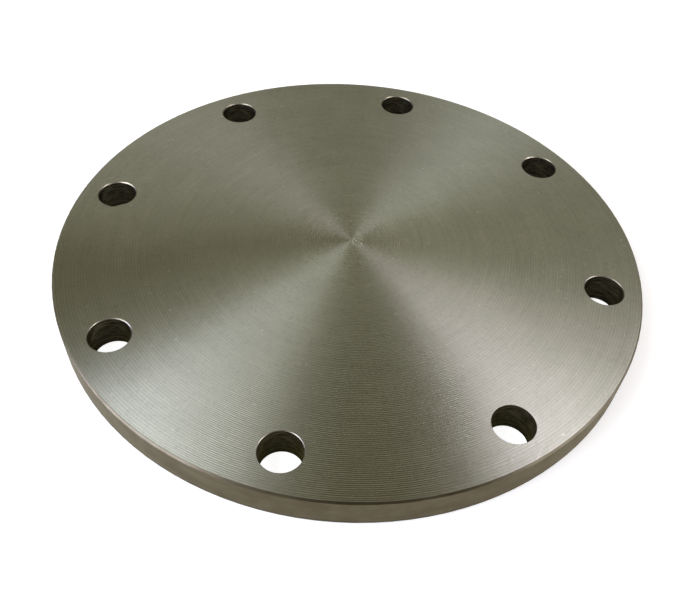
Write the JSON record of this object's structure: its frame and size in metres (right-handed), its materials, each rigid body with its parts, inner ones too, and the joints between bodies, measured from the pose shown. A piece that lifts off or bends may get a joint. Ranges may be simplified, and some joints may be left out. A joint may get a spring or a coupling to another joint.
{
  "type": "blind flange",
  "caption": "Flat-faced round blind flange: a solid turned steel disc with a ring of bolt holes near its rim, which closes the end of a flanged pipe.",
  "frame": {"origin": "centre of the lower flat face, on the plate's axis", "axes": "+Z along the plate's axis, out of the turned joint face; the bolt holes straddle the X and Y axes"},
  "size_m": [0.335, 0.335, 0.019],
  "materials": {
    "machined_steel": "face turned to a 1 mm feed, satin grey steel with a faint olive cast, unpainted"
  },
  "bodies": {
    "root": {"flange_plate": "machined_steel"}
  },
  "joints": []
}
